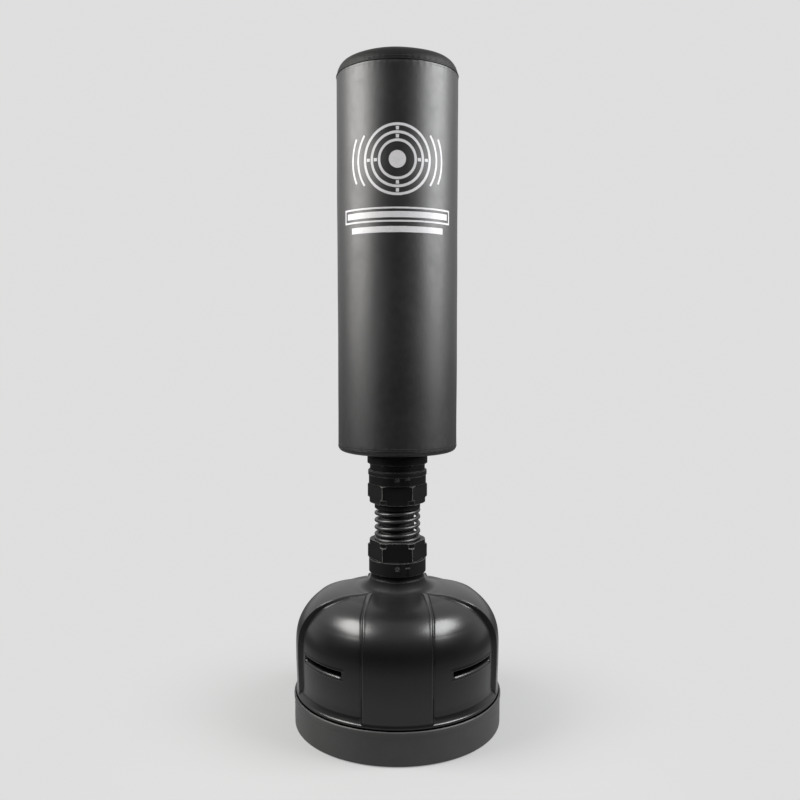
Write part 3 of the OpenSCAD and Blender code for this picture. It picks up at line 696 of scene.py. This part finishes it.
def top_panel():
    cols = 240
    a = TAU * np.arange(cols) / cols
    ang = np.radians(np.linspace(1.5, 76, 34))
    rr = list(114 + 36 * np.cos(ang)) + list(np.linspace(1, 0.02, 40)[1:] * (114 + 36 * math.cos(ang[-1])))
    hh = [36 * math.sin(x) for x in ang] + [float(crown(r)) for r in rr[34:]]
    rr, hh = np.array(rr)[:, None], np.array(hh)[:, None]
    aa = a[None, :] + 0 * rr
    s = 150 - rr + hh
    bulge = 0.35 * waves(aa, hh / 100, 21, 16, 1.0, 6, 1.0) * step(4, 40, s) * step(0, 60, rr)
    gather = 0.6 * np.sin(67 * aa + 1.9 * np.sin(3 * aa)) * np.exp(-s / 11) * (1 - np.exp(-s / 3))
    off = -1.1 - 1.5 * np.exp(-s / 14.0) + bulge + gather - 1.0 * np.exp(-s / 2.0)
    nr, nz = np.cos(np.arctan2(hh, np.maximum(rr - 114, 0.001))), np.sin(np.arctan2(hh, np.maximum(rr - 114, 0.001)))
    r = rr + off * nr * (rr > 114)
    z = SEAM + hh + off * nz
    verts = np.stack([r * np.cos(aa), r * np.sin(aa), z + 0 * aa], -1).reshape(-1, 3)
    rows = len(rr)
    faces = [tuple(f) for f in grid_faces(rows, cols)] + [tuple((rows - 1) * cols + k for k in range(cols))]
    ob = mesh_object("bag_top_panel", verts, faces)
    puff(ob, np.arange(cols * 2), 1.2, 12, 1.0)
    return ob


top = paint(top_panel(), CROWN)
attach(top, "bag"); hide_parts("bag_top_cap", "foam_top_pad")


def bottom_panel():
    cols = 240
    a = TAU * np.arange(cols) / cols
    ang = np.radians(np.linspace(-2, -90, 16))
    rr = list(135.4 + 14 * np.cos(ang)) + [120, 100, 85, 76, 66, 56]
    zz = list(710 + 13.8 * np.sin(ang)) + [696.3, 696.3, 696.3, 696.3, 696.3, 696.3]
    rr, zz = np.array(rr)[:, None], np.array(zz)[:, None]
    aa = a[None, :] + 0 * rr
    d = np.abs(zz - 710) + np.maximum(135 - rr, 0)
    gather = 0.45 * np.sin(57 * aa + 1.5 * np.sin(5 * aa)) * np.exp(-d / 9) * (1 - np.exp(-d / 3))
    r = rr + gather - 0.8 * np.exp(-d / 2)
    verts = np.stack([r * np.cos(aa), r * np.sin(aa), zz + 0 * aa], -1).reshape(-1, 3)
    return mesh_object("bag_bottom_panel", verts, grid_faces(len(rr), cols), sharp=60)


bottom = paint(bottom_panel(), SKIN)
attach(bottom, "bag"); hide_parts("bag_bottom_cap")


def welt(name, r, z, thick, lay, seed):
    """A piping cord that wanders a little, with a gathered skin."""
    cols, m = 480, 16
    a = TAU * np.arange(cols) / cols
    rng = np.random.default_rng(seed)
    wander = sum(rng.normal() * np.sin(k * a + rng.uniform(0, TAU)) for k in (3, 5, 8, 13)) * 0.12
    b = TAU * np.arange(m) / m
    t = thick * (1 + 0.035 * np.sin(120 * a)[:, None])
    rr = r + t * np.cos(b)[None, :]
    zz = z + wander[:, None] + t * lay * np.sin(b)[None, :]
    v = np.stack([rr * np.cos(a)[:, None], rr * np.sin(a)[:, None], zz], -1).reshape(-1, 3)
    f = []
    for i in range(cols):
        for j in range(m):
            k, l = (i + 1) % cols, (j + 1) % m
            f.append((i * m + j, k * m + j, k * m + l, i * m + l))
    return mesh_object(name, v, f)


piping = paint(welt("seam_welt", 148.3, SEAM, 1.9, 1.0, 3), WELT)
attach(piping, "bag"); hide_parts("top_piping")
edge = paint(welt("bottom_seam_fold", 148.9, PANEL, 0.9, 1.4, 4), WELT)
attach(edge, "bag")


def surface_of(*obs):
    verts, polys = [], []
    for o in obs:
        k = len(verts)
        verts += [v.co.copy() for v in o.data.vertices]
        polys += [tuple(i + k for i in p.vertices) for p in o.data.polygons]
    return BVHTree.FromPolygons(verts, polys)


tree = surface_of(side, top, bottom)


def on_bag(angle, z, proud):
    """A point on the cover at this azimuth and height in millimetres, and the way out."""
    out = Vector((math.cos(angle), math.sin(angle), 0))
    hit, normal, _, _ = tree.ray_cast(Vector((0, 0, z * MM)) + out * 0.4, -out)
    if hit is None:
        hit, normal = Vector((0, 0, z * MM)) + out * 0.149, out
    if normal.dot(out) < 0:
        normal = -normal
    p = hit + normal * proud * MM
    return (p.x / MM, p.y / MM, p.z / MM), normal


def stitches(name, z, count, length, thick, proud, skip=None):
    """One row of thread stitches round the bag, each sunk at its ends."""
    parts = []
    for i in range(count):
        mid = TAU * (i + 0.5) / count
        if skip and abs((mid - math.pi / 2 + math.pi) % TAU - math.pi) < skip:
            continue
        rings = []
        for t, s, h in ((-0.5, 0.25, -0.9), (-0.32, 0.9, 0.1), (0, 1.0, 0.35), (0.32, 0.9, 0.1), (0.5, 0.25, -0.9)):
            ang = mid + t * length / 150
            c, n = on_bag(ang, z, proud + h * thick)
            n = np.array(n)
            ring = []
            for k in range(6):
                b = TAU * k / 6
                ring.append(tuple(np.array(c) + thick * s * (math.cos(b) * n + math.sin(b) * np.array((0, 0, 1)))))
            rings.append(ring)
        v = [p for ring in rings for p in ring]
        f = [tuple(q) for q in grid_faces(5, 6)] + [tuple(range(5, -1, -1)), tuple(range(24, 30))]
        parts.append((v, f))
    return merge(name, parts, sharp=80)


for name, z in (("stitches_side", SEAM - 7.0), ("stitches_top", SEAM + 7.5), ("stitches_bottom", PANEL + 6.0)):
    o = paint(stitches(name, z, 176, 3.7, 0.42, 0.0), THREAD)
    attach(o, "bag")


# ---- the print: plain rings and bars ------------------------------------------------

def patch(outline_fn, nu, nv, proud=0.22):
    """A thin strip of ink laid on the cover. outline_fn(u, v) gives arc length and height."""
    v = []
    for i in range(nu + 1):
        for j in range(nv + 1):
            s, z = outline_fn(i / nu, j / nv)
            v.append(on_bag(-math.pi / 2 + s / 150.0, z, proud)[0])
    f = [tuple(q) for q in grid_faces(nu + 1, nv + 1, wrap_cols=False)]
    return v, f


def ring_patch(cz, r0, r1, a0=0.0, a1=TAU):
    return patch(lambda u, v: ((r0 + (r1 - r0) * v) * math.sin(a0 + (a1 - a0) * u),
                               cz + (r0 + (r1 - r0) * v) * math.cos(a0 + (a1 - a0) * u)),
                 max(8, int(96 * (a1 - a0) / TAU)), 2)


def bar_patch(s0, s1, z0, z1):
    return patch(lambda u, v: (s0 + (s1 - s0) * u, z0 + (z1 - z0) * v), max(2, int(abs(s1 - s0) / 4)), 3)


CZ = 1388.0
art = [ring_patch(CZ, 76, 82), ring_patch(CZ, 58, 64), ring_patch(CZ, 40, 46), ring_patch(CZ, 0.5, 20)]
for k in range(4):
    a0 = math.pi / 2 * k
    art.append(ring_patch(CZ, 66, 74, a0 - 0.05, a0 + 0.05))
    art.append(ring_patch(CZ, 48, 56, a0 - 0.07, a0 + 0.07))
art += [bar_patch(-146, 146, 1276, 1280), bar_patch(-146, 146, 1246, 1250), bar_patch(-146, -142, 1250, 1276),
        bar_patch(142, 146, 1250, 1276), bar_patch(-136, 136, 1256, 1270), bar_patch(-120, 120, 1222, 1236)]
for side_a in (math.pi / 2, -math.pi / 2):
    art.append(ring_patch(CZ, 96, 101, side_a - 0.62, side_a + 0.62))
    art.append(ring_patch(CZ, 113, 118, side_a - 0.46, side_a + 0.46))
printed = paint(merge("front_print", art, sharp=80), INK)
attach(printed, "bag")


# ---- the zip -----------------------------------------------------------------------

def strip(name, half, z0, z1, r0, nx, nz, ripple=0.0):
    v = []
    for i in range(nz + 1):
        for j in range(nx + 1):
            x = -half + 2 * half * j / nx
            z = z0 + (z1 - z0) * i / nz
            a = math.pi / 2 - x / 150.0
            r = r0 + ripple * math.sin(z * 0.11 + (2 if x > 0 else 0)) * abs(x) / half
            if j in (0, nx):
                r -= 0.5
            v.append((r * math.cos(a), r * math.sin(a), z))
    return mesh_object(name, v, grid_faces(nz + 1, nx + 1, wrap_cols=False), sharp=60)


tape = paint(strip("zip_strip", 15.0, 718.2, 1603.8, 150.95, 12, 300, 0.12), TAPE)
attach(tape, "bag"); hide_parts("zip_tape")
teeth = []
pitch, y = 2.6, 151.7
for i in range(int((1597.0 - 724.5) / pitch)):
    for k in (-1, 1):
        z = 724.8 + pitch * i + (pitch / 2 if k > 0 else 0)
        pts, faces = bar(-1.05, 1.05, -0.7, 0.7, -0.55, 0.55, 0.0, 0.22)
        teeth.append(([(px + 0.95 * k, py + y, pz + z) for px, py, pz in pts], faces))
teeth = paint(merge("zip_teeth", teeth), TOOTH)
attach(teeth, "bag")
rows = []
for x in (-12.6, 12.6, -6.2, 6.2):
    for i in range(176):
        z = 722.0 + 5.0 * i
        pts, faces = bar(-0.35, 0.35, -0.3, 0.3, -1.8, 1.8, 0.0, 0.18)
        a = math.pi / 2 - x / 150.0
        rows.append(([(px + 151.25 * math.cos(a), py + 151.25 * math.sin(a), pz + z) for px, py, pz in pts], faces))
rows = paint(merge("zip_stitches", rows), THREAD)
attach(rows, "bag")


# ---- floor, light, camera --------------------------------------------------------------

BACK = 0.735
FLOOR, ROOM, WALL, ROOF = 0.32, 0.02, 0.70, 0.45
NEAR, AWAY = 0.58, 0.13


def build_stage():
    ring, cols = [0.0, 0.3, 0.6, 1.0, 1.6, 2.5, 4.0, 7.0, 14.0, 40.0], 96
    prof = [(r * 1000, 0.0) for r in ring]
    floor = lathe("studio_floor", prof, cols)
    m = bpy.data.materials.new("studio_floor_pale")
    m.use_nodes = True
    t = m.node_tree
    b = t.nodes["Principled BSDF"]
    co = t.nodes.new("ShaderNodeTexCoord")
    ln = t.nodes.new("ShaderNodeVectorMath"); ln.operation = "LENGTH"
    t.links.new(co.outputs["Object"], ln.inputs[0])
    far = t.nodes.new("ShaderNodeMapRange"); far.interpolation_type = "SMOOTHSTEP"
    far.inputs["From Min"].default_value, far.inputs["From Max"].default_value = 0.26, 0.85
    far.inputs["To Min"].default_value = 0.45
    t.links.new(ln.outputs["Value"], far.inputs["Value"])
    grain = t.nodes.new("ShaderNodeTexNoise"); grain.inputs["Scale"].default_value = 3.0
    t.links.new(co.outputs["Object"], grain.inputs["Vector"])
    tone = t.nodes.new("ShaderNodeMix"); tone.data_type = "RGBA"
    tone.inputs[6].default_value = (FLOOR, FLOOR, FLOOR, 1)
    tone.inputs[7].default_value = (FLOOR * 1.03, FLOOR * 1.03, FLOOR * 1.03, 1)
    t.links.new(grain.outputs["Fac"], tone.inputs[0])
    t.links.new(tone.outputs[2], b.inputs["Base Color"])
    b.inputs["Roughness"].default_value = 0.9
    b.inputs["Specular IOR Level"].default_value = 0.1
    em = t.nodes.new("ShaderNodeEmission")
    em.inputs["Color"].default_value = (1, 1, 1, 1)
    eye = t.nodes.new("ShaderNodeLightPath")
    glow = t.nodes.new("ShaderNodeMapRange")
    glow.inputs["To Max"].default_value = BACK
    t.links.new(eye.outputs["Is Camera Ray"], glow.inputs["Value"])
    near = t.nodes.new("ShaderNodeMapRange"); near.interpolation_type = "SMOOTHSTEP"
    for k, v in (("From Min", 0.30), ("From Max", 1.30), ("To Min", NEAR), ("To Max", AWAY)):
        near.inputs[k].default_value = v
    t.links.new(ln.outputs["Value"], near.inputs["Value"])
    t.links.new(near.outputs[0], glow.inputs["To Min"])
    t.links.new(glow.outputs[0], em.inputs["Strength"])
    mx = t.nodes.new("ShaderNodeMixShader")
    t.links.new(far.outputs[0], mx.inputs[0])
    t.links.new(b.outputs[0], mx.inputs[1])
    t.links.new(em.outputs[0], mx.inputs[2])
    t.links.new(mx.outputs[0], t.nodes["Material Output"].inputs[0])
    paint(floor, m)

    # a studio with a pale wall behind the object and a dark room in front of it
    w = bpy.data.worlds.new("studio")
    bpy.context.scene.world = w
    w.use_nodes = True
    nt = w.node_tree
    bg = nt.nodes["Background"]
    bg.inputs["Color"].default_value = (1, 1, 1, 1)
    co = nt.nodes.new("ShaderNodeTexCoord")
    xyz = nt.nodes.new("ShaderNodeSeparateXYZ")
    nt.links.new(co.outputs["Generated"], xyz.inputs[0])
    wall = nt.nodes.new("ShaderNodeMapRange"); wall.interpolation_type = "SMOOTHSTEP"
    for k, v in (("From Min", -0.15), ("From Max", 0.55), ("To Min", ROOM), ("To Max", WALL)):
        wall.inputs[k].default_value = v
    nt.links.new(xyz.outputs[1], wall.inputs["Value"])
    roof = nt.nodes.new("ShaderNodeMapRange"); roof.interpolation_type = "SMOOTHSTEP"
    for k, v in (("From Min", 0.45), ("From Max", 0.95), ("To Min", 0.0), ("To Max", ROOF)):
        roof.inputs[k].default_value = v
    nt.links.new(xyz.outputs[2], roof.inputs["Value"])
    both = nt.nodes.new("ShaderNodeMath"); both.operation = "MAXIMUM"
    nt.links.new(wall.outputs[0], both.inputs[0])
    nt.links.new(roof.outputs[0], both.inputs[1])
    path = nt.nodes.new("ShaderNodeLightPath")
    pick = nt.nodes.new("ShaderNodeMapRange")
    pick.inputs["To Max"].default_value = BACK
    nt.links.new(path.outputs["Is Camera Ray"], pick.inputs["Value"])
    nt.links.new(both.outputs[0], pick.inputs["To Min"])
    nt.links.new(pick.outputs[0], bg.inputs["Strength"])


def softbox(name, at, to, width, height, power, color=(1, 1, 1), lit=None):
    d = bpy.data.lights.new(name, "AREA")
    d.shape, d.size, d.size_y, d.energy, d.color = "RECTANGLE", width, height, power, color
    o = bpy.data.objects.new(name, d)
    bpy.context.scene.collection.objects.link(o)
    o.location = at
    o.rotation_euler = (Vector(to) - Vector(at)).to_track_quat("-Z", "Y").to_euler()
    o.visible_camera = False
    if lit:
        group = bpy.data.collections.new(name + "_on")
        for ob in lit:
            group.objects.link(ob)
        o.light_linking.receiver_collection = group
    return o


build_stage()
shell = (tank, neck_ring, plug)
rest = [o for o in bpy.context.scene.objects if o.type == "MESH" and o not in shell]
warm, cool = (1.0, 0.985, 0.965), (0.985, 0.992, 1.0)
for side_x, tone in ((-1, warm), (1, cool)):
    side_name = "left" if side_x < 0 else "right"
    softbox("softbox_" + side_name, (2.10 * side_x, -0.55, 2.08), (0, 0, 0.95), 1.7, 2.1, 150, tone, rest)
    softbox("topbox_" + side_name, (1.85 * side_x, -0.30, 2.68), (0, 0, 0.30), 1.7, 1.2, 104, tone, shell)

cam = bpy.data.cameras.new("camera")
cam.sensor_width, cam.sensor_fit, cam.lens, cam.shift_x = 36.0, "HORIZONTAL", 822.74 / 800 * 36.0, 0.00325
cam.clip_end = 100
eye = bpy.data.objects.new("camera", cam)
bpy.context.scene.collection.objects.link(eye)
eye.location = (0, -2.0718, 0.9735)
eye.rotation_euler = (math.radians(90 - 4.17), 0, 0)
bpy.context.scene.camera = eye
bpy.context.scene.view_settings.view_transform = "Standard"
bpy.context.scene.view_settings.look = "None"
